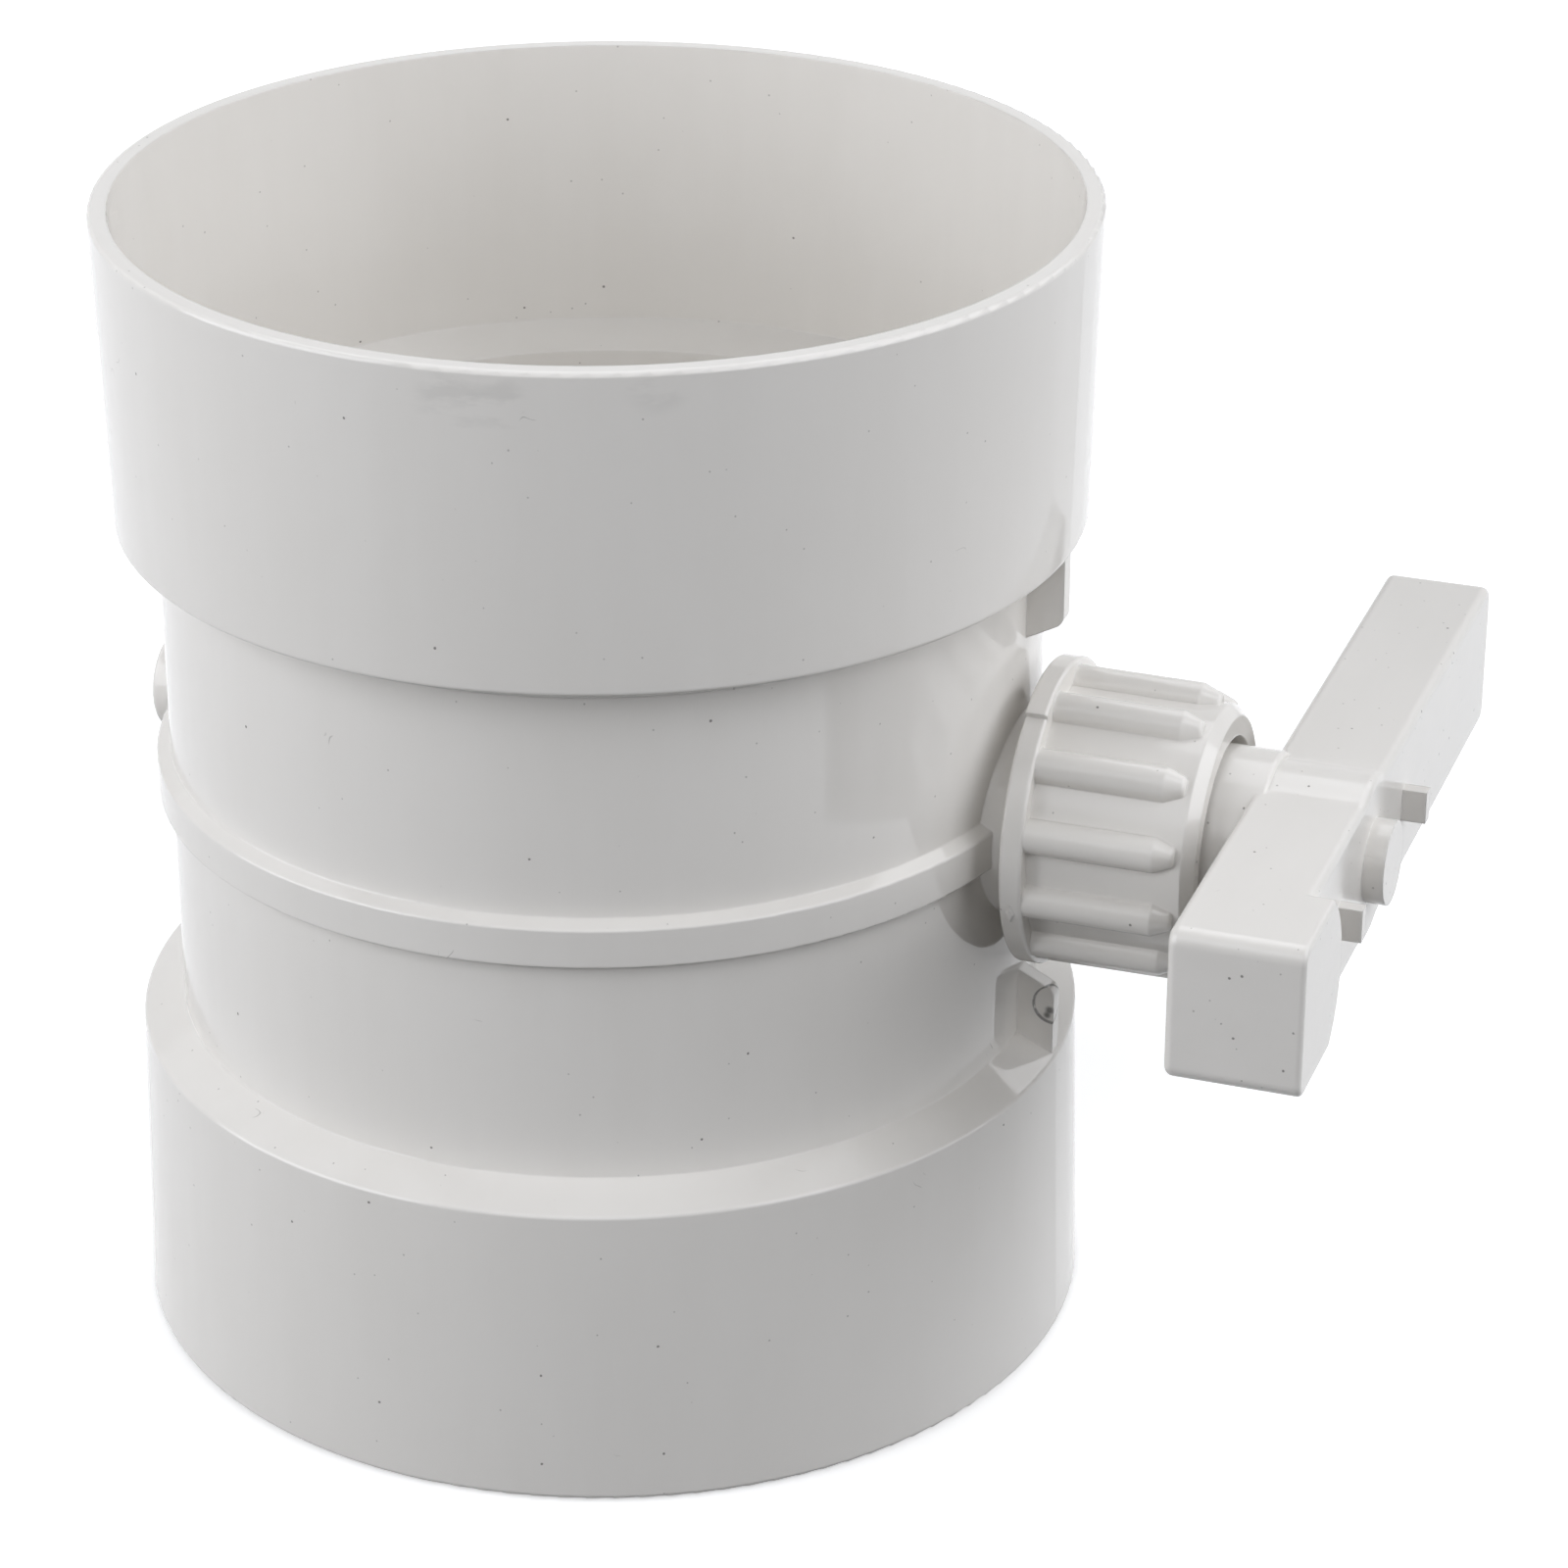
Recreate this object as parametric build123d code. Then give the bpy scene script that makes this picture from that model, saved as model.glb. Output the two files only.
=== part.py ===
from build123d import *
import math
import os

# Frame: millimetres, origin at the centre of the lower mouth, +Z along the duct,
# +X along the spindle towards the handle, +Y along the long arm of the handle.

# Duct body, a straight coupling with a pipe socket at each end
body_length = 140.0
socket_bore_radius = 55.2
socket_wall = 2.2
socket_draft = 0.9
socket_taper = 0.94
socket_depth = 35.8
seat_length = 12.0
ledge_width = 5.9
ledge_slope = 21.0
neck_wall = 3.1
shoulder_wall = 1.6
shoulder_slope = 27.0
rim_round = 0.5
shoulder_round = 0.5

# Stiffening ring round the middle of the neck
ring_width = 4.6
ring_height = 1.6
ring_foot = 0.9
ring_round = 0.3

# Gland boss on the neck, and the blind boss for the pivot opposite
boss_radius = 12.5
boss_length = 13.6
pivot_boss_radius = 6.3
pivot_boss_length = 5.6
pivot_boss_floor = 2.0
pivot_boss_round = 0.8

# Two webs in the plane of the spindle, between neck and shoulders
web_thickness = 2.3
web_setback = 0.5
web_inner_height = 8.4
web_outer_height = 8.6
web_corner = 1.6
mark_radius = 2.5
mark_depth = 0.25
mark_height = 6.8

# Blade, a round disc with a tapered spine along the spindle axis
blade_clearance = 0.5
blade_thickness = 4.0
spine_radius = 8.5
spine_pivot_radius = 6.5
pivot_pin_radius = 4.2
blade_socket_depth = 15.5

# Spindle and its two sealing rings
journal_radius = 8.0
collar_thickness = 4.0
blade_square = 10.0
handle_square = 12.0
handle_tang_length = 16.0
o_ring_section = 1.8
o_ring_setback = 4.0
o_ring_spacing = 6.0
groove_width = 2.3

# Flat rings in the gland
friction_ring_thickness = 2.0
slip_washer_thickness = 1.8

# Gland nut, screwed over the boss
thread_depth = 0.9
nut_length = 22.1
nut_wall = 2.0
nut_taper = 0.1
nut_end_wall = 3.3
nut_end_chamfer = 1.3
nut_flange_height = 2.85
nut_flange_width = 2.65
nut_flange_round = 0.35
parting_step = 0.6
parting_angle = 208.0
gate_angle = 107.0
gate_length = 4.0
gate_width = 1.6
gate_height = 0.3
gate_root = 0.4
gate_slope = 30.0
grip_count = 12
grip_radius = 2.1
grip_end_gap = 2.0
grip_nose_length = 2.4
grip_tip_radius = 1.1
grip_nose_round = 0.7
grip_first_angle = 15.0

# Handle, a round hub with a bar across it
hub_radius = 11.0
hub_length = 9.5
hub_round = 0.6
swell_height = 0.9
swell_blend = 8.0
bar_height = 18.4
bar_depth = 13.0
short_arm = 42.3
long_arm = 62.3
bar_corner = 1.8
bar_edge_round = 1.0
bar_wall = 2.6
bar_rib = 2.2
pocket_corner = 1.0

# Thumb pad on the short arm, and the driving keys on the outer side of the bar
pad_radius = 11.8
pad_inset = 5.9
pad_height = 2.5
pad_round = 0.6
key_height = 2.9
key_thickness = 1.8
key_width = 4.0
key_offset = 16.1
key_boss_radius = 5.0
key_boss_height = 2.5

# Fits between the pieces
running_clearance = 0.05
thread_clearance = 0.3
collar_clearance = 0.6
washer_clearance = 0.3
hub_clearance = 1.0
square_clearance = 0.1
end_clearance = 0.4

# Radii that follow from the sizes above
mouth_radius = socket_bore_radius + socket_draft
rim_radius = mouth_radius + socket_wall
shoulder_radius = rim_radius - socket_taper
throat_radius = socket_bore_radius - ledge_width
neck_radius = throat_radius + neck_wall
blade_radius = throat_radius - blade_clearance
nut_bore_radius = boss_radius + thread_depth + thread_clearance
nut_barrel_radius = nut_bore_radius + nut_wall
nut_flange_radius = nut_barrel_radius + nut_flange_height
nut_hole_radius = hub_radius + hub_clearance
collar_radius = nut_bore_radius - collar_clearance

# Heights up the duct
axis_height = body_length / 2
shoulder_height = socket_depth + shoulder_wall
slope_ratio = math.tan(math.radians(shoulder_slope))
neck_height = shoulder_height + (shoulder_radius - neck_radius) * slope_ratio
throat_height = socket_depth + ledge_width * math.tan(math.radians(ledge_slope))

# Places along the spindle, measured from the duct axis
boss_end = neck_radius + boss_length
collar_start = boss_end + friction_ring_thickness
collar_end = collar_start + collar_thickness
nut_seat = collar_end + slip_washer_thickness
nut_end = nut_seat + nut_end_wall
nut_start = nut_end - nut_length
bar_inner = collar_end + hub_length
bar_outer = bar_inner + bar_depth
journal_start = blade_radius + end_clearance
tang_start = blade_radius - blade_socket_depth + end_clearance
o_ring_places = [boss_end - o_ring_setback - o_ring_spacing, boss_end - o_ring_setback]
pivot_boss_end = neck_radius + pivot_boss_length
pivot_hole_end = pivot_boss_end - pivot_boss_floor

spindle_axis = Axis((0, 0, axis_height), (1, 0, 0))
spindle_side = Plane(origin=(0, 0, axis_height), x_dir=(1, 0, 0), z_dir=(0, -1, 0))
spindle_face = Plane(origin=(0, 0, axis_height), x_dir=(0, 1, 0), z_dir=(1, 0, 0))


def outline(points, rounds=()):
    """Flat face through the points, with each (point, radius) of rounds rounded off."""
    face = make_face(Polyline(*points, close=True))
    for point, radius in rounds:
        corner = face.vertices().sort_by_distance((point[0], point[1], 0))[0]
        face = fillet(corner, radius)
    return face


def duct_turned(points, rounds=()):
    """Solid turned about the duct axis, from (radius, height) points."""
    return revolve(Plane.XZ * outline(points, rounds), axis=Axis.Z)


def spindle_turned(points, rounds=()):
    """Solid turned about the spindle axis, from (place, radius) points."""
    return revolve(spindle_side * outline(points, rounds), axis=spindle_axis)


def rod(section, start, end):
    """Straight bar of the given section along the spindle axis."""
    return extrude(spindle_face.offset(start) * section, amount=end - start)


def flat_ring(inner, outer, start, end):
    """Flat ring on the spindle axis."""
    return rod(Circle(outer) - Circle(inner), start, end)


def both_ends(lower):
    """Outline points of the lower half of the duct, followed by their mirror image."""
    upper = [(radius, body_length - height) for radius, height in reversed(lower)]
    return [(0, 0), *lower, *upper, (0, body_length)]


def duct_outside():
    """Outside of the duct with its ring, filled to the axis."""
    ring_edge = axis_height - ring_width / 2
    lower = [
        (rim_radius, 0),
        (shoulder_radius, shoulder_height),
        (neck_radius, neck_height),
        (neck_radius, ring_edge - ring_foot),
        (neck_radius + ring_height, ring_edge),
    ]
    rounds = []
    for height in (0, body_length):
        rounds.append(((rim_radius, height), rim_round))
    for height in (shoulder_height, body_length - shoulder_height):
        rounds.append(((shoulder_radius, height), shoulder_round))
    for height in (ring_edge, body_length - ring_edge):
        rounds.append(((neck_radius + ring_height, height), ring_round))
    return duct_turned(both_ends(lower), rounds)


def duct_passage():
    """Both sockets, straight at the seat and wider at the mouth, and the throat between them."""
    lower = [
        (mouth_radius, 0),
        (socket_bore_radius, socket_depth - seat_length),
        (socket_bore_radius, socket_depth),
        (throat_radius, throat_height),
    ]
    return duct_turned(both_ends(lower))


def lower_web():
    """Web on the lower shoulder beside the gland boss."""
    root = neck_radius - neck_wall / 2
    outer = shoulder_radius - web_setback
    top_outer = shoulder_height + web_outer_height
    top_inner = neck_height + web_inner_height
    points = [
        (root, socket_depth),
        (outer, socket_depth),
        (outer, top_outer),
        (neck_radius, top_inner),
        (root, top_inner),
    ]
    face = outline(points, [((outer, top_outer), web_corner)])
    return extrude(Plane.XZ * face, amount=-web_thickness)


def ejector_mark():
    """Shallow round mark on the side of the lower web."""
    centre = Pos(shoulder_radius - web_setback, shoulder_height + mark_height)
    return extrude(Plane.XZ * centre * Circle(mark_radius), amount=-mark_depth)


def make_duct_body():
    """Sockets, neck, ring, bosses and webs, moulded in one piece."""
    middle = Plane.XY.offset(axis_height)
    web = lower_web()
    pivot_boss = rod(Circle(pivot_boss_radius), -pivot_boss_end, 0)
    pivot_boss = fillet(pivot_boss.edges().sort_by(Axis.X)[0], pivot_boss_round)
    outside = duct_outside() + rod(Circle(boss_radius), 0, boss_end) + pivot_boss
    outside += [web - ejector_mark(), mirror(web, about=middle)]
    spindle_bore = rod(Circle(journal_radius + running_clearance), 0, boss_end)
    pivot_bore = rod(Circle(pivot_pin_radius + running_clearance), -pivot_hole_end, 0)
    return outside - duct_passage() - spindle_bore - pivot_bore


def make_blade():
    """Disc with a tapered spine, a pivot pin at one end and a square socket at the other."""
    centre = Pos(0, 0, axis_height)
    disc = centre * Cylinder(blade_radius, blade_thickness)
    spine = spindle_turned([
        (-blade_radius, 0),
        (-blade_radius, spine_pivot_radius),
        (blade_radius, spine_radius),
        (blade_radius, 0),
    ])
    swept_space = centre * Sphere(blade_radius)
    pin = rod(Circle(pivot_pin_radius), end_clearance - pivot_hole_end, -blade_radius / 2)
    socket_side = blade_square + 2 * square_clearance
    socket = rod(Rectangle(socket_side, socket_side), blade_radius - blade_socket_depth, blade_radius)
    blade = (disc + spine) & swept_space
    return blade + pin - socket


def make_spindle():
    """Journal with two ring grooves, a collar, and a square tang at each end."""
    groove_floor = journal_radius - o_ring_section
    journal = rod(Circle(journal_radius), journal_start, collar_start)
    for place in o_ring_places:
        edge = place - groove_width / 2
        journal -= flat_ring(groove_floor, journal_radius, edge, edge + groove_width)
    collar = rod(Circle(collar_radius), collar_start, collar_end)
    blade_tang = rod(Rectangle(blade_square, blade_square), tang_start, journal_start)
    tang_end = collar_end + handle_tang_length
    handle_tang = rod(Rectangle(handle_square, handle_square), collar_end, tang_end)
    return journal + collar + blade_tang + handle_tang


def make_o_ring(place):
    """Round-section ring that fills a groove of the spindle up to its journal."""
    radius = o_ring_section / 2
    section = spindle_side * Pos(place, journal_radius - radius) * Circle(radius)
    return revolve(section, axis=spindle_axis)


def make_friction_ring():
    """Flat ring between the end of the gland boss and the spindle collar."""
    return flat_ring(journal_radius + washer_clearance, boss_radius, boss_end, collar_start)


def make_slip_washer():
    """Flat ring between the spindle collar and the end wall of the nut."""
    inner = hub_radius + washer_clearance
    outer = nut_bore_radius - washer_clearance
    return flat_ring(inner, outer, collar_end, nut_seat)


def grip_rib():
    """Half-round grip rib with a blunt nose, lying along the tapered barrel at its top."""
    start = nut_start + nut_flange_width / 2
    length = nut_end - grip_end_gap - start
    taper = math.atan2(nut_taper, nut_length - nut_flange_width - nut_end_chamfer)
    nose = (grip_radius, length - grip_nose_length)
    tip = (grip_tip_radius, length)
    points = [(0, 0), (grip_radius, 0), nose, tip, (0, length)]
    half = outline(points, [(nose, grip_nose_round), (tip, grip_nose_round)])
    rib = revolve(Plane.XZ * half, axis=Axis.Z)
    seat = Plane(
        origin=(start, 0, axis_height + nut_barrel_radius),
        x_dir=(math.sin(taper), 0, math.cos(taper)),
        z_dir=(math.cos(taper), 0, -math.sin(taper)),
    )
    return seat * rib


def flange_corners(radius):
    """Outer corners of the nut flange at the given radius."""
    return [(nut_start, radius), (nut_start + nut_flange_width, radius)]


def proud_flange_half():
    """Half turn of the nut flange that stands proud of the other half at the parting line."""
    corners = flange_corners(nut_flange_radius)
    points = [*flange_corners(nut_barrel_radius), *reversed(corners)]
    face = outline(points, [(corner, nut_flange_round) for corner in corners])
    half = revolve(spindle_side * face, axis=spindle_axis, revolution_arc=180)
    return half.rotate(spindle_axis, parting_angle)


def gate_mark():
    """Raised diamond on the rim of the nut flange, where the moulding was cut from its gate."""
    place = (nut_start + nut_flange_width / 2, 0, axis_height + nut_flange_radius - parting_step - gate_root)
    across = gate_width / 2
    along = gate_length / 2
    diamond = Polygon((across, 0), (0, along), (-across, 0), (0, -along))
    mark = extrude(Plane(origin=place) * diamond, amount=gate_root + gate_height, taper=gate_slope)
    return mark.rotate(spindle_axis, gate_angle)


def make_gland_nut():
    """Flanged, ribbed nut with an end wall that the handle hub passes through."""
    end_radius = nut_barrel_radius - nut_taper
    corners = flange_corners(nut_flange_radius - parting_step)
    points = [
        (nut_start, nut_bore_radius),
        *corners,
        (nut_start + nut_flange_width, nut_barrel_radius),
        (nut_end - nut_end_chamfer, end_radius),
        (nut_end, end_radius - nut_end_chamfer),
        (nut_end, nut_hole_radius),
        (nut_seat, nut_hole_radius),
        (nut_seat, nut_bore_radius),
    ]
    nut = spindle_turned(points, [(corner, nut_flange_round) for corner in corners])
    nut += [proud_flange_half(), gate_mark()]
    rib = grip_rib()
    ribs = []
    for index in range(grip_count):
        ribs.append(rib.rotate(spindle_axis, grip_first_angle + 360 / grip_count * index))
    bore = rod(Circle(nut_bore_radius), nut_start, nut_seat)
    return nut + ribs - bore


def bar_outline():
    """Outline of the handle bar, seen along the spindle, with a low swell over the hub."""
    middle = Pos((long_arm - short_arm) / 2, 0)
    bar = middle * RectangleRounded(short_arm + long_arm, bar_height, bar_corner)
    swell_radius = bar_height / 2 + swell_height
    swell_edge = math.sqrt(swell_radius**2 - bar_height**2 / 4)
    face = bar + Circle(swell_radius)
    corners = face.vertices().filter_by(lambda vertex: math.isclose(abs(vertex.X), swell_edge, abs_tol=0.01))
    return fillet(corners, swell_blend)


def make_bar():
    """Bar with rounded edges, and a round pad on the outer side of its short arm."""
    bar = rod(bar_outline(), bar_inner, bar_outer)
    sides = bar.faces().sort_by(Axis.X)
    bar = fillet(sides[0].edges() + sides[-1].edges(), bar_edge_round)
    pad_outline = bar_outline() & Pos(pad_inset - short_arm, 0) * Circle(pad_radius)
    pad = rod(pad_outline, bar_outer - bar_edge_round, bar_outer + pad_height)
    pad = fillet(pad.faces().sort_by(Axis.X)[-1].edges(), pad_round)
    return bar + pad


def arm_pockets(direction, arm):
    """Two pockets in the back of one arm, with a rib between them."""
    first = hub_radius + bar_wall
    length = (arm - bar_wall - first - bar_rib) / 2
    pockets = []
    for index in range(2):
        middle = first + length / 2 + index * (length + bar_rib)
        mouth = RectangleRounded(length, bar_height - 2 * bar_wall, pocket_corner)
        place = Pos(direction * middle, 0)
        pockets.append(rod(place * mouth, bar_inner, bar_outer - bar_wall))
    return pockets


def driving_keys():
    """Round boss and two tabs on the outer side of the bar."""
    root = bar_outer - bar_wall
    keys = [rod(Circle(key_boss_radius), root, bar_outer + key_boss_height)]
    for direction in (-1, 1):
        place = Pos(direction * key_offset, 0)
        keys.append(rod(place * Rectangle(key_thickness, key_width), root, bar_outer + key_height))
    return keys


def make_handle():
    """Hub and crossbar, with pockets in the back and driving keys on the front."""
    bar = make_bar() - [*arm_pockets(-1, short_arm), *arm_pockets(1, long_arm)]
    hub = rod(Circle(hub_radius), collar_end, bar_inner + bar_edge_round + hub_round)
    hub = fillet(hub.edges().sort_by(Axis.X)[-1], hub_round)
    socket_side = handle_square + 2 * square_clearance
    socket_end = collar_end + handle_tang_length + end_clearance
    socket = rod(Rectangle(socket_side, socket_side), collar_end, socket_end)
    return bar + [hub, *driving_keys()] - socket


os.makedirs("parts", exist_ok=True)
pieces = {
    "duct_body": make_duct_body(),
    "damper_blade": make_blade(),
    "spindle": make_spindle(),
    "inner_o_ring": make_o_ring(o_ring_places[0]),
    "outer_o_ring": make_o_ring(o_ring_places[1]),
    "friction_ring": make_friction_ring(),
    "slip_washer": make_slip_washer(),
    "gland_nut": make_gland_nut(),
    "handle": make_handle(),
}
for name, piece in pieces.items():
    export_step(piece, f"parts/{name}.step")
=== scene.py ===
"""Dresses and lights a hand-turned duct damper: a socketed body, its shutter and its gland."""
import logging
import math
from dataclasses import dataclass, replace
from enum import Enum

import bpy
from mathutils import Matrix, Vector


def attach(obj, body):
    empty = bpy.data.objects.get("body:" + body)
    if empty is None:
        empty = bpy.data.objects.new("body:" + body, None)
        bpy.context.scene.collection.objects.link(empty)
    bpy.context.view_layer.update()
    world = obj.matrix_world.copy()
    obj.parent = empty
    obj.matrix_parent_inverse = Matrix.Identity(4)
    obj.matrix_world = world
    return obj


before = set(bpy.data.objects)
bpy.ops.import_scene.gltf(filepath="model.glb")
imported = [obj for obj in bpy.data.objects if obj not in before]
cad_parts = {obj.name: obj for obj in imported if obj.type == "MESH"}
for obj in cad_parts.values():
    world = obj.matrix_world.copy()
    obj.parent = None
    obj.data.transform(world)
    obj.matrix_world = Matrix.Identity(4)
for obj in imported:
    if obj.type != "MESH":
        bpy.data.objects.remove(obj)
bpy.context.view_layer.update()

log = logging.getLogger("damper")

Colour = tuple[float, float, float]
Point = tuple[float, float, float]
Range = tuple[float, float]
Socket = bpy.types.NodeSocket
Value = float | tuple | Socket

# Lengths are in metres, turns in degrees and lamp powers in watts.
SPINDLE_HEIGHT = 0.07
THREAD_PITCH = 0.003
WHITE = (1.0, 1.0, 1.0, 1.0)
HANDLED_WHITE: Colour = (0.788, 0.766, 0.733)
HANDLED_DRIFT: Colour = (0.768, 0.746, 0.711)
DIRT: Colour = (0.16, 0.155, 0.145)


class Wiring:
    """Adds nodes to one node tree and joins them."""

    def __init__(self, tree: bpy.types.NodeTree) -> None:
        """Keeps the tree that the nodes go into."""
        self.tree = tree

    def put(self, socket: Socket, value: Value) -> None:
        """Feeds an input socket.

        Args:
            socket: The input to feed.
            value: A plain value, or an output socket to link from.
        """
        if isinstance(value, bpy.types.NodeSocket):
            self.tree.links.new(value, socket)
        else:
            socket.default_value = value

    def add(
        self, kind: str, inputs: dict[str | int, Value] | None = None, **settings: object,
    ) -> bpy.types.Node:
        """Adds one node.

        Args:
            kind: Blender's type name of the node.
            inputs: Names or numbers of inputs, each with what feeds it.
            settings: Properties of the node itself.

        Returns:
            The new node.
        """
        node = self.tree.nodes.new(kind)
        for key, value in settings.items():
            setattr(node, key, value)
        for key, value in (inputs or {}).items():
            self.put(node.inputs[key], value)
        return node

    def math(self, operation: str, first: Value, second: Value = 0.0, clamp: bool = False) -> Socket:
        """Does one sum.

        Args:
            operation: Blender's name of the sum.
            first: The first number.
            second: The second number, where the sum has one.
            clamp: Keeps the result between 0 and 1.

        Returns:
            The output socket.
        """
        numbers = {0: first, 1: second}
        return self.add("ShaderNodeMath", numbers, operation=operation, use_clamp=clamp).outputs[0]

    def total(self, *parts: Value) -> Socket:
        """Adds several numbers up.

        Args:
            parts: Two or more numbers.

        Returns:
            The output socket of their sum.
        """
        result = parts[0]
        for part in parts[1:]:
            result = self.math("ADD", result, part)
        return result

    def product(self, *parts: Value) -> Socket:
        """Multiplies several numbers.

        Args:
            parts: Two or more numbers.

        Returns:
            The output socket of their product.
        """
        result = parts[0]
        for part in parts[1:]:
            result = self.math("MULTIPLY", result, part)
        return result

    def ramp(self, value: Value, low: float, high: float, start: float = 0.0, end: float = 1.0) -> Socket:
        """Turns a range of a number smoothly into another range, held at both ends.

        Args:
            value: The number.
            low: Where the ramp begins.
            high: Where the ramp ends.
            start: The result at low and below.
            end: The result at high and above.

        Returns:
            The output socket.
        """
        inputs = {"Value": value, "From Min": low, "From Max": high, "To Min": start, "To Max": end}
        return self.add("ShaderNodeMapRange", inputs, interpolation_type="SMOOTHSTEP").outputs[0]

    def fall(self, value: Value, low: float, high: float) -> Socket:
        """Turns a range of a number smoothly into a fall from 1 to 0."""
        return self.ramp(value, low, high, 1.0, 0.0)

    def noise(self, where: Value, scale: float, detail: float = 2.0) -> Socket:
        """Adds a cloud pattern.

        Args:
            where: The coordinates it is read at.
            scale: Clouds in a metre.
            detail: How many finer layers it has.

        Returns:
            The output socket of a number about 0.5.
        """
        inputs = {"Vector": where, "Scale": scale, "Detail": detail, "Roughness": 0.55}
        return self.add("ShaderNodeTexNoise", inputs).outputs["Fac"]

    def contour(self, pattern: Value) -> Socket:
        """Measures how far a cloud pattern is from its middle value, which it crosses in thin lines."""
        return self.math("ABSOLUTE", self.math("SUBTRACT", pattern, 0.5))

    def stretch(self, where: Value, scale: Point, turn: Point = (0.0, 0.0, 0.0)) -> Socket:
        """Turns and stretches coordinates, so that a pattern runs one way.

        Args:
            where: The coordinates.
            scale: The factor along each axis.
            turn: The turn about each axis in degrees.

        Returns:
            The output socket of the new coordinates.
        """
        angles = tuple(math.radians(a) for a in turn)
        inputs = {"Vector": where, "Rotation": angles, "Scale": scale}
        return self.add("ShaderNodeMapping", inputs).outputs[0]

    def blend(self, share: Value, first: Value, second: Value) -> Socket:
        """Mixes two colours.

        Args:
            share: How much of the second colour shows.
            first: The first colour.
            second: The second colour.

        Returns:
            The output socket of the mixed colour.
        """
        rgba = [(*c, 1.0) if isinstance(c, tuple) else c for c in (first, second)]
        mix = self.add("ShaderNodeMix", data_type="RGBA")
        # The mix node lists its inputs by kind: 0 is the share, 6 and 7 are the colours.
        self.put(mix.inputs[0], share)
        self.put(mix.inputs[6], rgba[0])
        self.put(mix.inputs[7], rgba[1])
        return mix.outputs[2]

    def distance(self, where: Value, centre: Point) -> Socket:
        """Measures how far the coordinates lie from a point.

        Args:
            where: The coordinates.
            centre: The point, in metres.

        Returns:
            The output socket of the distance in metres.
        """
        node = self.add("ShaderNodeVectorMath", {0: where, 1: centre}, operation="DISTANCE")
        return node.outputs["Value"]

    def bump(self, height: Value, depth: float, normal: Socket | None = None) -> Socket:
        """Turns a pattern into relief.

        Args:
            height: The pattern.
            depth: How deep the relief is, in metres.
            normal: The surface that it lies on, where that isn't the plain one.

        Returns:
            The output socket of the normal.
        """
        inputs = {"Distance": depth, "Height": height}
        if normal is not None:
            inputs["Normal"] = normal
        return self.add("ShaderNodeBump", inputs).outputs[0]


def blank_material(name: str) -> tuple[bpy.types.Material, Wiring, bpy.types.Node, Socket]:
    """Starts a material with a principled shader.

    Args:
        name: The material's name.

    Returns:
        The material, the wiring of its tree, its shader, and its object coordinates.
    """
    material = bpy.data.materials.new(name)
    material.use_nodes = True
    material.node_tree.nodes.clear()
    wire = Wiring(material.node_tree)
    shader = wire.add("ShaderNodeBsdfPrincipled")
    wire.add("ShaderNodeOutputMaterial", {"Surface": shader.outputs[0]})
    return material, wire, shader, wire.add("ShaderNodeTexCoord").outputs["Object"]


class MarkKind(Enum):
    """The two sorts of dirt that handling and moulding leave."""

    SMEAR = "smear"
    RING = "ring"


@dataclass(frozen=True)
class Mark:
    """One dirty place on a moulding."""

    kind: MarkKind
    centre: Point
    radius: float
    strength: float
    grain: float = 120.0
    patchy: float = 0.47
    fade: float = 0.19
    core: float = 0.35
    streak: Point = (1.0, 1.0, 3.0)
    ring_inside: Range = (0.90, 0.98)
    ring_outside: Range = (1.01, 1.07)

    def mask(self, wire: Wiring, where: Value) -> Socket:
        """Makes the share of dirt at each point.

        Args:
            wire: The wiring of the moulding's material.
            where: Its object coordinates.

        Returns:
            The output socket of the share.
        """
        away = wire.distance(where, self.centre)
        patches = (self.patchy, self.patchy + self.fade)
        if self.kind is MarkKind.RING:
            inside = wire.ramp(away, *(self.radius * share for share in self.ring_inside))
            outside = wire.fall(away, *(self.radius * share for share in self.ring_outside))
            broken = wire.ramp(wire.noise(where, self.grain), *patches)
            return wire.product(inside, outside, broken, self.strength)
        streaks = wire.noise(wire.stretch(where, self.streak), self.grain, detail=5.0)
        near = wire.fall(away, self.radius * self.core, self.radius)
        return wire.product(near, wire.ramp(streaks, *patches), self.strength)


@dataclass(frozen=True)
class Grains:
    """Ragged dark grains that the resin carries."""

    colour: Colour
    radius: float
    per_metre: float
    strength: float
    tears_per_metre: float = 2600.0
    tear_depth: float = 0.8
    edge: Range = (0.9, 1.4)

    def mask(self, wire: Wiring, where: Value) -> Socket:
        """Makes the share of grain at each point, with one grain in each cell of a loose grid.

        Args:
            wire: The wiring of the moulding's material.
            where: Its object coordinates.

        Returns:
            The output socket of the share.
        """
        cells = wire.add("ShaderNodeTexVoronoi", {"Vector": where, "Scale": self.per_metre})
        size = self.radius * self.per_metre
        ragged = wire.product(wire.noise(where, self.tears_per_metre), size * self.tear_depth)
        spread = wire.total(cells.outputs["Distance"], ragged)
        body = wire.fall(spread, *(size * share for share in self.edge))
        return wire.product(body, self.strength)


@dataclass(frozen=True)
class Lint:
    """Short curled fibres that cling to the surface."""

    colour: Colour = (0.24, 0.225, 0.20)
    reach: float = 0.0012
    per_metre: float = 75.0
    strength: float = 0.4
    curls_per_metre: float = 420.0
    width: Range = (0.006, 0.016)
    tip: float = 0.7

    def mask(self, wire: Wiring, where: Value) -> Socket:
        """Makes the share of fibre at each point.

        Args:
            wire: The wiring of the moulding's material.
            where: Its object coordinates.

        Returns:
            The output socket of the share.
        """
        cells = wire.add("ShaderNodeTexVoronoi", {"Vector": where, "Scale": self.per_metre})
        size = self.reach * self.per_metre
        near = wire.fall(cells.outputs["Distance"], size * self.tip, size)
        curl = wire.contour(wire.noise(where, self.curls_per_metre, detail=0.0))
        return wire.product(near, wire.fall(curl, *self.width), self.strength)


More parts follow.
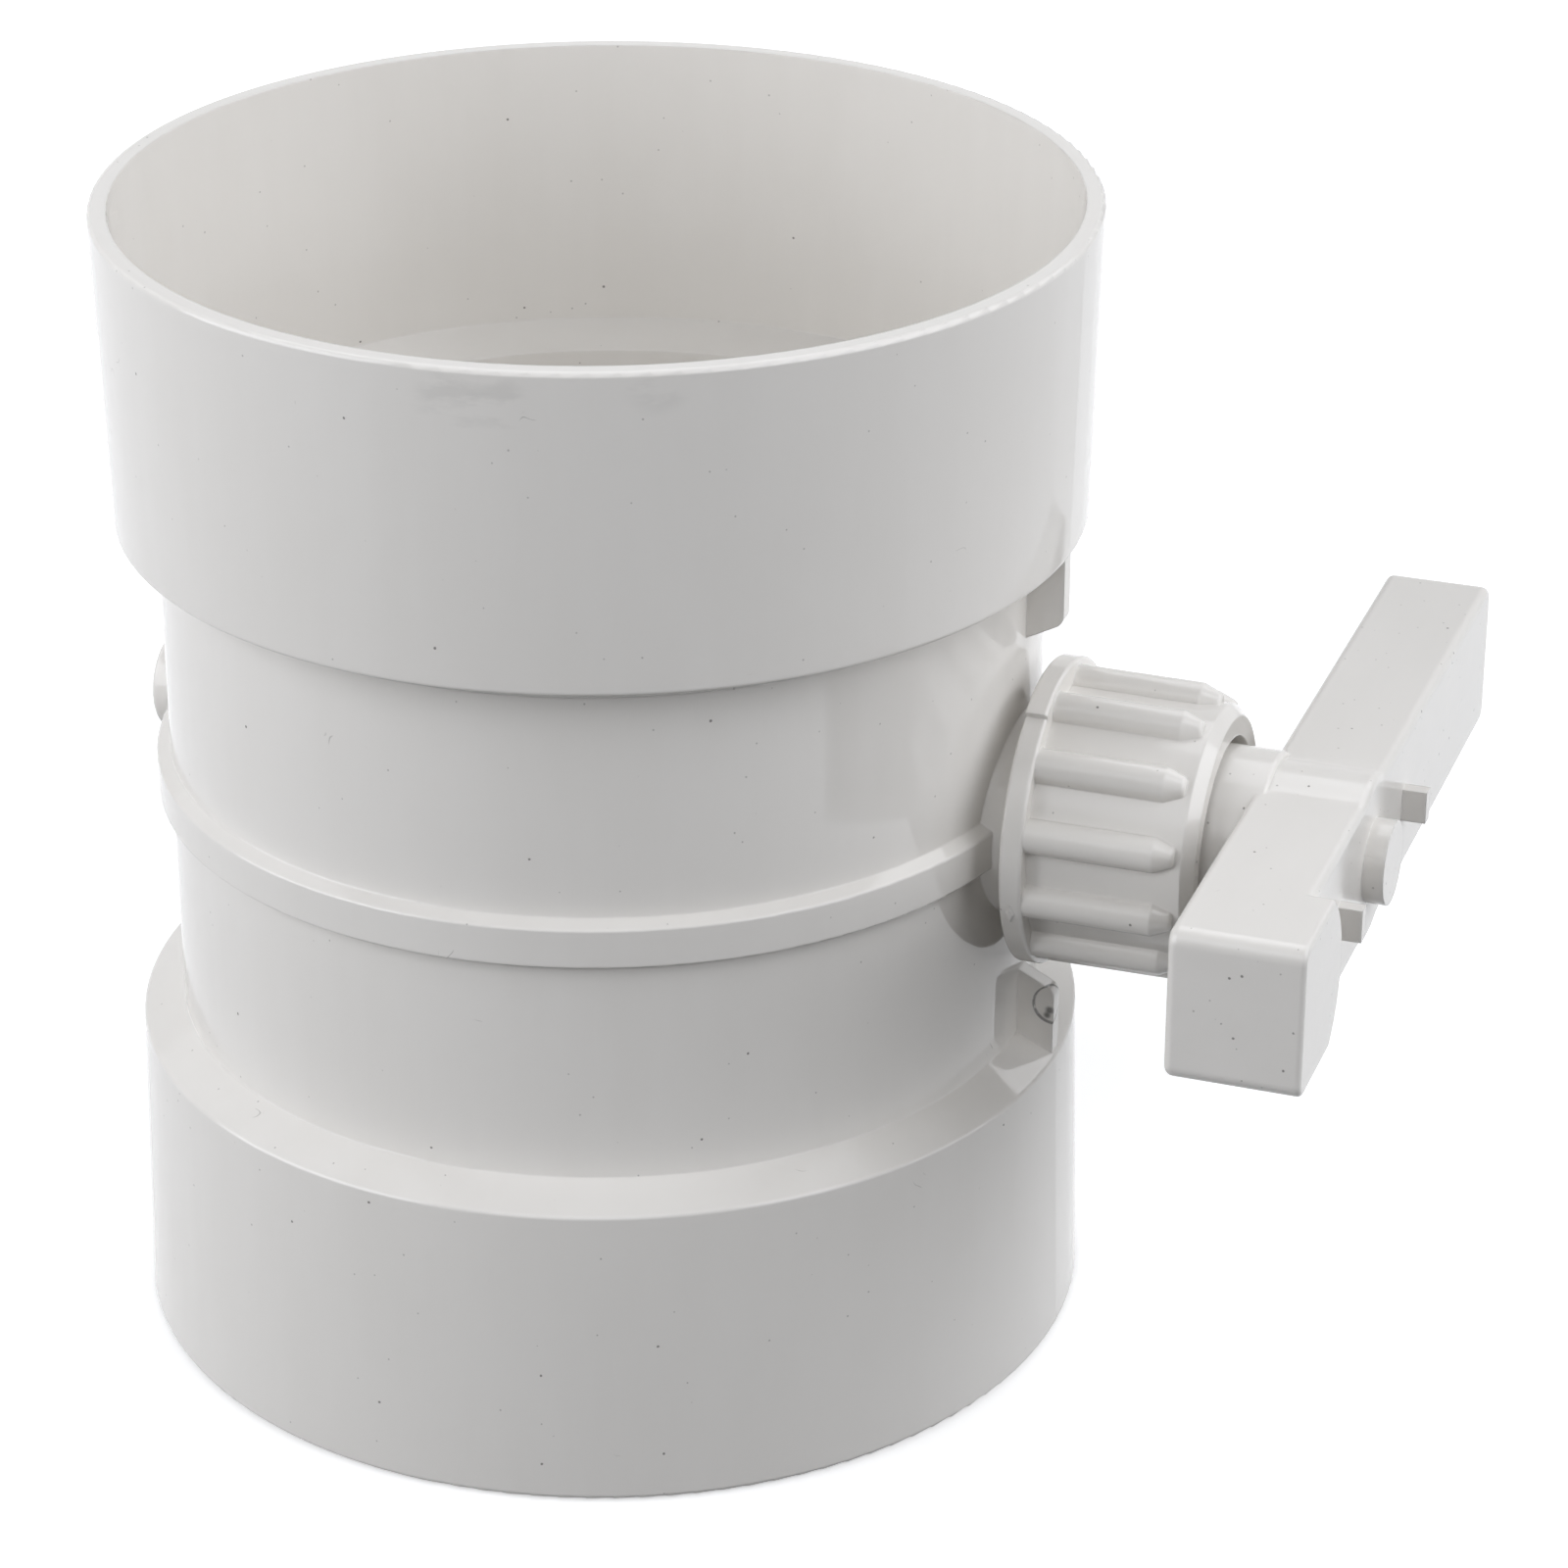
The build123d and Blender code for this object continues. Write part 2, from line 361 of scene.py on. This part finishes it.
@dataclass(frozen=True)
class Hairlines:
    """Fine scratches that dull the gloss where a moulding has been rubbed."""

    lines: Point = (14.0, 14.0, 150.0)
    turn: Point = (38.0, 20.0, 15.0)
    width: Range = (0.0008, 0.0024)
    rubs_per_metre: float = 38.0
    rub_edge: Range = (0.58, 0.66)
    dulling: float = 0.10

    def roughness(self, wire: Wiring, where: Value) -> Socket:
        """Makes the roughness that the scratches add.

        Args:
            wire: The wiring of the moulding's material.
            where: Its object coordinates.

        Returns:
            The output socket of the added roughness.
        """
        hair = wire.noise(wire.stretch(where, self.lines, self.turn), scale=1.0, detail=1.0)
        line = wire.fall(wire.contour(hair), *self.width)
        rubbed = wire.ramp(wire.noise(where, self.rubs_per_metre, detail=1.0), *self.rub_edge)
        return wire.product(line, rubbed, self.dulling)


SPECKS = Grains((0.13, 0.12, 0.105), radius=0.00022, per_metre=150.0, strength=0.85)
DUST = Grains((0.20, 0.185, 0.165), radius=0.00016, per_metre=330.0, strength=0.45)


@dataclass(frozen=True)
class MouldedPlastic:
    """Gloss off-white PVC as it leaves the mould: drifting tone, soft edges, ripples and specks."""

    name: str
    colour: Colour = (0.812, 0.790, 0.756)
    drift: Colour = (0.792, 0.769, 0.733)
    smooth: float = 0.035
    dull: float = 0.11
    refraction: float = 1.53
    edge_round: float = 0.00035
    ripple: float = 0.00006
    ripples_per_metre: float = 40.0
    ripple_stretch: Point = (1.0, 1.0, 0.7)
    peel: float = 0.000004
    peel_per_metre: float = 900.0
    clouds_per_metre: float = 24.0
    streaks_per_metre: float = 30.0
    streak_share: float = 0.6
    tone_range: Range = (0.55, 1.05)
    polish_per_metre: float = 420.0
    gloss_shares: Point = (0.5, 0.3, 0.2)
    gloss_range: Range = (0.36, 0.64)
    flow: Point = (6.0, 6.0, 1.0)
    specks: Grains = SPECKS
    dust: Grains = DUST
    lint: Lint = Lint()
    hairlines: Hairlines = Hairlines()
    marks: tuple[Mark, ...] = ()

    def material(self) -> bpy.types.Material:
        """Builds the material.

        Returns:
            The finished material.
        """
        material, wire, shader, where = blank_material(self.name)
        shader.inputs["IOR"].default_value = self.refraction
        clouds = wire.noise(where, self.clouds_per_metre, detail=3.0)
        streaks = wire.noise(wire.stretch(where, self.flow), self.streaks_per_metre, detail=3.0)
        tone = wire.ramp(wire.total(clouds, wire.product(streaks, self.streak_share)), *self.tone_range)
        colour = wire.blend(tone, self.drift, self.colour)
        for litter in (self.specks, self.dust, self.lint):
            colour = wire.blend(litter.mask(wire, where), colour, litter.colour)
        for mark in self.marks:
            colour = wire.blend(mark.mask(wire, where), colour, DIRT)
        shader.inputs["Base Color"].default_value = (*self.colour, 1.0)
        wire.put(shader.inputs["Base Color"], colour)
        wire.put(shader.inputs["Roughness"], self.roughness(wire, where, clouds, streaks))
        wire.put(shader.inputs["Normal"], self.surface(wire, where))
        return material

    def roughness(self, wire: Wiring, where: Value, clouds: Value, streaks: Value) -> Socket:
        """Varies the gloss by the mould's polish, the flow of the resin and handling.

        Args:
            wire: The wiring of the material.
            where: Its object coordinates.
            clouds: The pattern of slow drift.
            streaks: The pattern along the flow.

        Returns:
            The output socket of the roughness.
        """
        polish = wire.noise(where, self.polish_per_metre, detail=3.0)
        patterns = zip((clouds, streaks, polish), self.gloss_shares)
        mixed = wire.total(*(wire.product(pattern, share) for pattern, share in patterns))
        base = wire.ramp(mixed, *self.gloss_range, self.smooth, self.dull)
        return wire.total(base, self.hairlines.roughness(wire, where))

    def surface(self, wire: Wiring, where: Value) -> Socket:
        """Rounds the edges and adds the slow ripple and fine peel that bend reflections.

        Args:
            wire: The wiring of the material.
            where: Its object coordinates.

        Returns:
            The output socket of the normal.
        """
        edges = wire.add("ShaderNodeBevel", {"Radius": self.edge_round}, samples=6).outputs[0]
        slow = wire.noise(wire.stretch(where, self.ripple_stretch), self.ripples_per_metre, detail=1.0)
        fine = wire.noise(where, self.peel_per_metre)
        return wire.bump(fine, self.peel, wire.bump(slow, self.ripple, edges))


@dataclass(frozen=True)
class SealRubber:
    """Black nitrile rubber with a dusty bloom and a fine moulded grain."""

    name: str = "seal_rubber"
    colour: Colour = (0.022, 0.022, 0.023)
    bloom: Colour = (0.060, 0.060, 0.062)
    refraction: float = 1.52
    dust_per_metre: float = 260.0
    bloom_range: Range = (0.45, 0.75)
    gloss_range: Range = (0.3, 0.7)
    roughness: Range = (0.42, 0.66)
    grain: float = 0.000004
    grains_per_metre: float = 5200.0

    def material(self) -> bpy.types.Material:
        """Builds the material.

        Returns:
            The finished material.
        """
        material, wire, shader, where = blank_material(self.name)
        shader.inputs["IOR"].default_value = self.refraction
        dust = wire.noise(where, self.dust_per_metre, detail=4.0)
        bloomed = wire.blend(wire.ramp(dust, *self.bloom_range), self.colour, self.bloom)
        wire.put(shader.inputs["Base Color"], bloomed)
        wire.put(shader.inputs["Roughness"], wire.ramp(dust, *self.gloss_range, *self.roughness))
        grain = wire.noise(where, self.grains_per_metre)
        wire.put(shader.inputs["Normal"], wire.bump(grain, self.grain))
        return material


@dataclass(frozen=True)
class WaxyRing:
    """Waxy white polyethylene with rubbed tracks where the ring slides."""

    name: str = "waxy_ring"
    colour: Colour = (0.84, 0.84, 0.82)
    rubbed: Colour = (0.74, 0.74, 0.73)
    refraction: float = 1.51
    glow_share: float = 0.12
    glow_reach: Point = (0.0012, 0.0011, 0.0010)
    tracks_per_metre: float = 2400.0
    track_range: Range = (0.42, 0.66)
    track_depth: float = 0.000006
    haze_per_metre: float = 500.0
    haze_range: Range = (0.3, 0.7)
    roughness: Range = (0.36, 0.5)

    def material(self) -> bpy.types.Material:
        """Builds the material.

        Returns:
            The finished material.
        """
        material, wire, shader, where = blank_material(self.name)
        shader.inputs["IOR"].default_value = self.refraction
        shader.inputs["Subsurface Weight"].default_value = self.glow_share
        shader.inputs["Subsurface Radius"].default_value = self.glow_reach
        worn = self.tracks(wire, where)
        wire.put(shader.inputs["Base Color"], wire.blend(worn, self.colour, self.rubbed))
        haze = wire.noise(where, self.haze_per_metre, detail=3.0)
        wire.put(shader.inputs["Roughness"], wire.ramp(haze, *self.haze_range, *self.roughness))
        wire.put(shader.inputs["Normal"], wire.bump(worn, self.track_depth))
        return material

    def tracks(self, wire: Wiring, where: Value) -> Socket:
        """Draws the circles round the spindle that sliding wears.

        Args:
            wire: The wiring of the material.
            where: Its object coordinates.

        Returns:
            The output socket of the share of wear.
        """
        axes = wire.add("ShaderNodeSeparateXYZ", {0: where}).outputs
        rise = wire.math("SUBTRACT", axes["Z"], SPINDLE_HEIGHT)
        squares = [wire.math("POWER", leg, 2.0) for leg in (axes["Y"], rise)]
        radius = wire.math("SQRT", wire.total(*squares))
        inputs = {"W": wire.product(radius, self.tracks_per_metre), "Scale": 1.0, "Detail": 3.0}
        circles = wire.add("ShaderNodeTexNoise", inputs, noise_dimensions="1D")
        return wire.ramp(circles.outputs["Fac"], *self.track_range)


def paint(node_name: str, material: bpy.types.Material) -> None:
    """Gives a piece of the frame its finish.

    Args:
        node_name: The piece's name in the frame.
        material: The finish.
    """
    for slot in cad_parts[node_name].material_slots:
        slot.material = material
    log.info("dressed %s in %s", node_name, material.name)


class ThreadSide(Enum):
    """Which half of the gland carries a ridge."""

    BOSS = "duct"
    NUT = "nut"


@dataclass(frozen=True)
class RidgeTree:
    """The Geometry Nodes tree of a screw ridge that runs out to a point at both ends."""

    sizes: tuple[str, ...] = (
        "Root Radius", "Crest Radius", "Root Half Width", "Crest Half Width", "Pitch",
        "Start", "Turns", "Phase", "Axis Height", "Segments",
    )
    profile_points: int = 5
    run_outs_in_a_turn: float = 5.0
    weld: float = 0.000002

    def build(self) -> bpy.types.NodeTree:
        """Builds the tree.

        Returns:
            The tree, with a named input for each size and one for the finish.
        """
        tree = bpy.data.node_groups.new("screw_ridge", "GeometryNodeTree")
        tree.interface.new_socket("Geometry", in_out="OUTPUT", socket_type="NodeSocketGeometry")
        for size in self.sizes:
            tree.interface.new_socket(size, in_out="INPUT", socket_type="NodeSocketFloat")
        tree.interface.new_socket("Finish", in_out="INPUT", socket_type="NodeSocketMaterial")
        wire = Wiring(tree)
        size = wire.add("NodeGroupInput").outputs
        columns = wire.math("ROUND", wire.total(wire.product(size["Turns"], size["Segments"]), 1.0))
        strip = wire.add("GeometryNodeMeshGrid", {
            "Size X": 1.0, "Size Y": 1.0, "Vertices X": columns, "Vertices Y": self.profile_points,
        })
        spot = self.wind(wire, size)
        wound = wire.add("GeometryNodeSetPosition", {"Geometry": strip.outputs["Mesh"], "Position": spot})
        closed = wire.add("GeometryNodeMergeByDistance", {
            "Geometry": wound.outputs[0], "Distance": self.weld,
        })
        smooth = wire.add("GeometryNodeSetShadeSmooth", {"Geometry": closed.outputs[0]})
        plain = wire.add("GeometryNodeRealizeInstances", {"Geometry": smooth.outputs[0]})
        painted = wire.add("GeometryNodeSetMaterial", {
            "Geometry": plain.outputs[0], "Material": size["Finish"],
        })
        wire.add("NodeGroupOutput", {"Geometry": painted.outputs[0]})
        return tree

    def wind(self, wire: Wiring, size: bpy.types.NodeOutputs) -> Socket:
        """Places each point of a flat strip on the ridge.

        The strip's rows are the corners of the ridge: near root, near crest, far crest, far root
        and near root again, which closes it.

        Args:
            wire: The wiring of the tree.
            size: The sockets of the named sizes.

        Returns:
            The output socket of the point's place.
        """
        place = wire.add("GeometryNodeInputPosition").outputs[0]
        at = wire.add("ShaderNodeSeparateXYZ", {0: place}).outputs
        along = wire.math("ADD", at["X"], 0.5)
        steps = self.profile_points - 1.0
        corner = wire.math("ROUND", wire.product(wire.math("ADD", at["Y"], 0.5), steps))
        on_crest = self.between(wire, corner, 0.5, 2.5)
        far_flank = self.between(wire, corner, 1.5, 3.5)
        nearest_end = wire.math("MINIMUM", along, wire.math("SUBTRACT", 1.0, along))
        run_outs = wire.product(size["Turns"], self.run_outs_in_a_turn)
        run_out = wire.math("MULTIPLY", nearest_end, run_outs, clamp=True)
        rise = wire.math("SUBTRACT", size["Crest Radius"], size["Root Radius"])
        radius = wire.total(size["Root Radius"], wire.product(rise, on_crest, run_out))
        narrowing = wire.math("SUBTRACT", size["Crest Half Width"], size["Root Half Width"])
        half = wire.total(size["Root Half Width"], wire.product(narrowing, on_crest))
        side = wire.math("SUBTRACT", wire.product(far_flank, 2.0), 1.0)
        offset = wire.product(half, run_out, side, wire.math("SIGN", rise))
        turned = wire.product(along, size["Turns"])
        angle = wire.total(wire.product(turned, math.tau), size["Phase"])
        return wire.add("ShaderNodeCombineXYZ", {
            "X": wire.total(size["Start"], wire.product(turned, size["Pitch"]), offset),
            "Y": wire.product(radius, wire.math("COSINE", angle)),
            "Z": wire.total(size["Axis Height"], wire.product(radius, wire.math("SINE", angle))),
        }).outputs[0]

    def between(self, wire: Wiring, number: Value, low: float, high: float) -> Socket:
        """Tells with 1 or 0 whether a number lies between two others."""
        return wire.product(wire.math("GREATER_THAN", number, low), wire.math("LESS_THAN", number, high))


@dataclass(frozen=True)
class ThreadRidge:
    """One right-hand screw ridge of the gland, wound round the spindle axis."""

    name: str
    side: ThreadSide
    slot: str
    root_radius: float
    crest_radius: float
    start: float
    end: float
    phase: float
    pitch: float = THREAD_PITCH
    root_half_width: float = 0.00095
    crest_half_width: float = 0.00035
    axis_height: float = SPINDLE_HEIGHT
    segments: float = 48.0

    def sizes(self, material: bpy.types.Material) -> dict[str, float | bpy.types.Material]:
        """Lists what goes into the tree's named inputs.

        Args:
            material: The finish of the piece that carries the ridge.

        Returns:
            Each input's name with its value.
        """
        return {
            "Root Radius": self.root_radius,
            "Crest Radius": self.crest_radius,
            "Root Half Width": self.root_half_width,
            "Crest Half Width": self.crest_half_width,
            "Pitch": self.pitch,
            "Start": self.start,
            "Turns": (self.end - self.start) / self.pitch,
            "Phase": self.phase,
            "Axis Height": self.axis_height,
            "Segments": self.segments,
            "Finish": material,
        }

    def build(self, tree: bpy.types.NodeTree, material: bpy.types.Material) -> bpy.types.Object:
        """Winds the ridge and turns it into a plain mesh.

        Args:
            tree: The tree of a screw ridge.
            material: The finish of the piece that carries it.

        Returns:
            The finished piece.
        """
        carrier_name = self.name + "_carrier"
        carrier = bpy.data.objects.new(carrier_name, bpy.data.meshes.new(carrier_name))
        bpy.context.scene.collection.objects.link(carrier)
        winding = carrier.modifiers.new("winding", "NODES")
        winding.node_group = tree
        sizes = self.sizes(material)
        for item in tree.interface.items_tree:
            if item.in_out == "INPUT":
                winding[item.identifier] = sizes[item.name]
        graph = bpy.context.evaluated_depsgraph_get()
        mesh = bpy.data.meshes.new_from_object(carrier.evaluated_get(graph))
        carrier.modifiers.remove(winding)
        bpy.data.objects.remove(carrier)
        mesh.name = self.name
        piece = bpy.data.objects.new(self.name, mesh)
        bpy.context.scene.collection.objects.link(piece)
        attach(piece, self.side.value)
        log.info("wound %s, %d faces", self.name, len(mesh.polygons))
        return piece


@dataclass
class DuctShell:
    """The one-piece body: two pipe sockets, neck, ring, gland boss and webs."""

    rim_radius: float = 0.0583
    height: float = 0.140
    ejector_height: float = 0.0442
    ejector_radius: float = 0.0025
    web_edge: float = 0.05686
    smear_drop: float = 0.0036

    def on_rim(self, across: float, rise: float = 0.0) -> Point:
        """Finds a place on the front of the upper socket, a little below its rim.

        Args:
            across: How far it lies to the right of the middle, in metres.
            rise: How far it lies above the row of smears, in metres.

        Returns:
            The place in the shared frame.
        """
        forward = math.sqrt(self.rim_radius**2 - across**2)
        return across, -forward, self.height - self.smear_drop + rise

    def on_web(self, inward: float = 0.0, drop: float = 0.0) -> Point:
        """Finds a place at the ejector mark on the lower web.

        Args:
            inward: How far it lies from the web's edge, in metres.
            drop: How far it lies below the middle of the mark, in metres.

        Returns:
            The place in the shared frame.
        """
        return self.web_edge - inward, 0.0, self.ejector_height - drop

    def finish(self) -> MouldedPlastic:
        """Describes the body's plastic with the marks that it carries.

        Returns:
            The finish.
        """
        marks = (
            Mark(MarkKind.RING, self.on_web(), self.ejector_radius, 0.8, grain=700.0, patchy=0.30),
            Mark(MarkKind.SMEAR, self.on_web(0.0005, 0.0009), 0.0008, 0.95, grain=900.0, patchy=0.27),
            Mark(MarkKind.SMEAR, self.on_web(0.0008, 0.0016), 0.0007, 0.95, grain=900.0, patchy=0.27),
            Mark(MarkKind.SMEAR, self.on_rim(0.0060), 0.0050, 0.13),
            Mark(MarkKind.SMEAR, self.on_rim(0.0112), 0.0040, 0.13),
            Mark(MarkKind.SMEAR, self.on_rim(0.0270, rise=0.0024), 0.0045, 0.11),
        )
        return MouldedPlastic("moulded_duct", marks=marks)

    def dress(self) -> bpy.types.Material:
        """Paints the body.

        Returns:
            Its material, which the thread on the boss shares.
        """
        material = self.finish().material()
        paint("duct_body", material)
        return material


@dataclass
class Shutter:
    """What turns together: blade, spindle, its two seals and the lever."""

    gloss_nodes: tuple[str, ...] = ("damper_blade", "spindle")
    seal_nodes: tuple[str, ...] = ("inner_o_ring", "outer_o_ring")
    inner_finish: MouldedPlastic = MouldedPlastic("moulded_shutter", flow=(1.0, 6.0, 6.0))
    lever_finish: MouldedPlastic = MouldedPlastic(
        "moulded_handle",
        HANDLED_WHITE,
        HANDLED_DRIFT,
        smooth=0.08,
        dull=0.17,
        specks=replace(SPECKS, per_metre=270.0),
        dust=replace(DUST, per_metre=500.0),
        flow=(6.0, 1.0, 6.0),
    )

    def dress(self) -> None:
        """Paints every piece of the shutter."""
        inner = self.inner_finish.material()
        for node_name in self.gloss_nodes:
            paint(node_name, inner)
        rubber = SealRubber().material()
        for node_name in self.seal_nodes:
            paint(node_name, rubber)
        paint("handle", self.lever_finish.material())


@dataclass
class Gland:
    """The screwed gland: nut, friction ring, slip washer and the thread that joins nut and boss."""

    boss_root: float = 0.01245
    boss_crest: float = 0.0134
    boss_start: float = 0.0575
    boss_end: float = 0.0653
    nut_root: float = 0.01375
    nut_crest: float = 0.0128
    nut_start: float = 0.0563
    nut_end: float = 0.0639
    ring_nodes: tuple[str, ...] = ("friction_ring", "slip_washer")
    nut_finish: MouldedPlastic = MouldedPlastic(
        "moulded_nut",
        HANDLED_WHITE,
        HANDLED_DRIFT,
        smooth=0.05,
        dull=0.13,
        ripple=0.00004,
        specks=replace(SPECKS, per_metre=190.0),
        dust=replace(DUST, per_metre=380.0),
        flow=(1.0, 6.0, 6.0),
    )

    def ridges(self) -> tuple[ThreadRidge, ThreadRidge]:
        """Sets out the two ridges half a pitch apart.

        Returns:
            The boss's ridge and the nut's.
        """
        lead = (self.nut_start - self.boss_start - THREAD_PITCH / 2) / THREAD_PITCH
        boss = ThreadRidge(
            "boss_thread", ThreadSide.BOSS, "duct_body",
            self.boss_root, self.boss_crest, self.boss_start, self.boss_end, phase=0.0,
        )
        nut = ThreadRidge(
            "nut_thread", ThreadSide.NUT, "gland_nut",
            self.nut_root, self.nut_crest, self.nut_start, self.nut_end, phase=math.tau * lead,
        )
        return boss, nut

    def dress(self, boss_material: bpy.types.Material) -> None:
        """Paints the gland and winds its thread.

        Args:
            boss_material: The material of the body that the boss belongs to.
        """
        ring = WaxyRing().material()
        for node_name in self.ring_nodes:
            paint(node_name, ring)
        nut_material = self.nut_finish.material()
        paint("gland_nut", nut_material)
        tree = RidgeTree().build()
        boss, nut = self.ridges()
        boss.build(tree, boss_material)
        nut.build(tree, nut_material)


@dataclass(frozen=True)
class SoftBox:
    """A large soft lamp that faces the damper."""

    name: str
    azimuth: float
    elevation: float
    reach: float
    size: float
    power: float
    colour: Colour = (0.985, 1.0, 1.035)

    def build(self, target: Vector) -> bpy.types.Object:
        """Hangs the lamp.

        Args:
            target: The point that it faces, in metres.

        Returns:
            The lamp.
        """
        lamp = bpy.data.lights.new(self.name, "AREA")
        lamp.shape = "DISK"
        lamp.size = self.size
        lamp.energy = self.power
        lamp.color = self.colour
        turn, lift = math.radians(self.azimuth), math.radians(self.elevation)
        level = math.cos(lift)
        away = Vector((math.sin(turn) * level, -math.cos(turn) * level, math.sin(lift)))
        holder = bpy.data.objects.new(self.name, lamp)
        holder.location = target + away * self.reach
        holder.rotation_euler = away.to_track_quat("Z", "Y").to_euler()
        bpy.context.scene.collection.objects.link(holder)
        return holder


@dataclass
class Studio:
    """A white floor and surroundings, soft lamps on all sides and the camera."""

    floor_reach: float = 2.6
    floor_sides: int = 96
    floor_drop: float = 0.0003
    floor_colour: Colour = (0.80, 0.80, 0.80)
    bounce_colour: Colour = (0.06, 0.06, 0.06)
    near_glow: float = 0.44
    far_glow: float = 0.60
    glow_range: Range = (0.2, 1.0)
    ambient: float = 0.02
    camera_place: Point = (0.20004, -0.50087, 0.32407)
    camera_turn: Point = (64.28, 0.0, 19.5)
    camera_lens: float = 113.09
    camera_sensor: float = 36.0
    lamps: tuple[SoftBox, ...] = (
        SoftBox("left_box", -52.0, 18.0, 1.0, 1.1, 9.3),
        SoftBox("right_box", 90.0, 30.0, 1.3, 1.6, 14.0),
        SoftBox("front_box", 11.0, 38.0, 1.2, 0.9, 2.4),
        SoftBox("back_box", 200.0, 60.0, 1.4, 1.1, 4.5),
        SoftBox("rear_left_box", 252.0, 40.0, 1.3, 0.9, 0.8),
        SoftBox("rear_right_box", 146.0, 40.0, 1.3, 0.9, 2.4),
    )

    def build(self) -> None:
        """Sets up floor, world, lamps and camera."""
        self.lay_floor()
        self.light_world()
        for lamp in self.lamps:
            lamp.build(Vector((0.0, 0.0, SPINDLE_HEIGHT)))
        self.set_camera()
        bpy.context.scene.view_settings.view_transform = "Standard"
        log.info("set %d lamps, floor and camera", len(self.lamps))

    def set_camera(self) -> None:
        """Sets the camera where the photograph was taken from."""
        camera = bpy.data.cameras.new("front_camera")
        camera.lens = self.camera_lens
        camera.sensor_width = self.camera_sensor
        holder = bpy.data.objects.new("front_camera", camera)
        holder.location = self.camera_place
        holder.rotation_euler = tuple(math.radians(a) for a in self.camera_turn)
        bpy.context.scene.collection.objects.link(holder)
        bpy.context.scene.camera = holder

    def lay_floor(self) -> None:
        """Lays a round pale floor that stays white to the camera and keeps the shadow."""
        steps = [math.tau * i / self.floor_sides for i in range(self.floor_sides)]
        edge = [(self.floor_reach * math.cos(a), self.floor_reach * math.sin(a), 0.0) for a in steps]
        mesh = bpy.data.meshes.new("studio_floor")
        mesh.from_pydata(edge, [], [list(range(self.floor_sides))])
        floor = bpy.data.objects.new("studio_floor", mesh)
        floor.location.z = -self.floor_drop
        bpy.context.scene.collection.objects.link(floor)
        mesh.materials.append(self.floor_material())

    def floor_material(self) -> bpy.types.Material:
        """Makes a floor that glows to rays that see it and reflects little to rays that gather light.

        Returns:
            The finished material.
        """
        material = bpy.data.materials.new("studio_floor")
        material.use_nodes = True
        material.node_tree.nodes.clear()
        wire = Wiring(material.node_tree)
        seen = self.seen_rays(wire)
        shade = wire.blend(seen, self.bounce_colour, self.floor_colour)
        lit = wire.add("ShaderNodeBsdfDiffuse", {"Color": shade})
        where = wire.add("ShaderNodeTexCoord").outputs["Object"]
        away = wire.distance(where, (0.0, 0.0, 0.0))
        outwards = wire.ramp(away, *self.glow_range, self.near_glow, self.far_glow)
        strength = wire.product(seen, outwards)
        glow = wire.add("ShaderNodeEmission", {"Color": WHITE, "Strength": strength})
        both = wire.add("ShaderNodeAddShader", {0: lit.outputs[0], 1: glow.outputs[0]})
        wire.add("ShaderNodeOutputMaterial", {"Surface": both.outputs[0]})
        return material

    def light_world(self) -> None:
        """Makes the surroundings white where they are seen and nearly dark where they light."""
        world = bpy.data.worlds.new("studio_world")
        world.use_nodes = True
        world.node_tree.nodes.clear()
        wire = Wiring(world.node_tree)
        fill = wire.add("ShaderNodeBackground", {"Color": WHITE, "Strength": self.ambient})
        white = wire.add("ShaderNodeBackground", {"Color": WHITE, "Strength": 1.0})
        share = self.seen_rays(wire)
        mix = wire.add("ShaderNodeMixShader", {0: share, 1: fill.outputs[0], 2: white.outputs[0]})
        wire.add("ShaderNodeOutputWorld", {"Surface": mix.outputs[0]})
        bpy.context.scene.world = world

    def seen_rays(self, wire: Wiring) -> Socket:
        """Tells rays that see a surface from rays that only gather light.

        Args:
            wire: The wiring to add the test to.

        Returns:
            The output socket, 1 for camera, glossy and transmission rays.
        """
        rays = wire.add("ShaderNodeLightPath").outputs
        gloss = wire.math("MAXIMUM", rays["Is Glossy Ray"], rays["Is Transmission Ray"])
        return wire.math("MAXIMUM", rays["Is Camera Ray"], gloss)


def main() -> None:
    """Builds the damper's pieces in order, then the studio."""
    logging.basicConfig(level=logging.INFO, format="%(name)s: %(message)s")
    shell_material = DuctShell().dress()
    Shutter().dress()
    Gland().dress(shell_material)
    Studio().build()


if __name__ == "__main__":
    main()
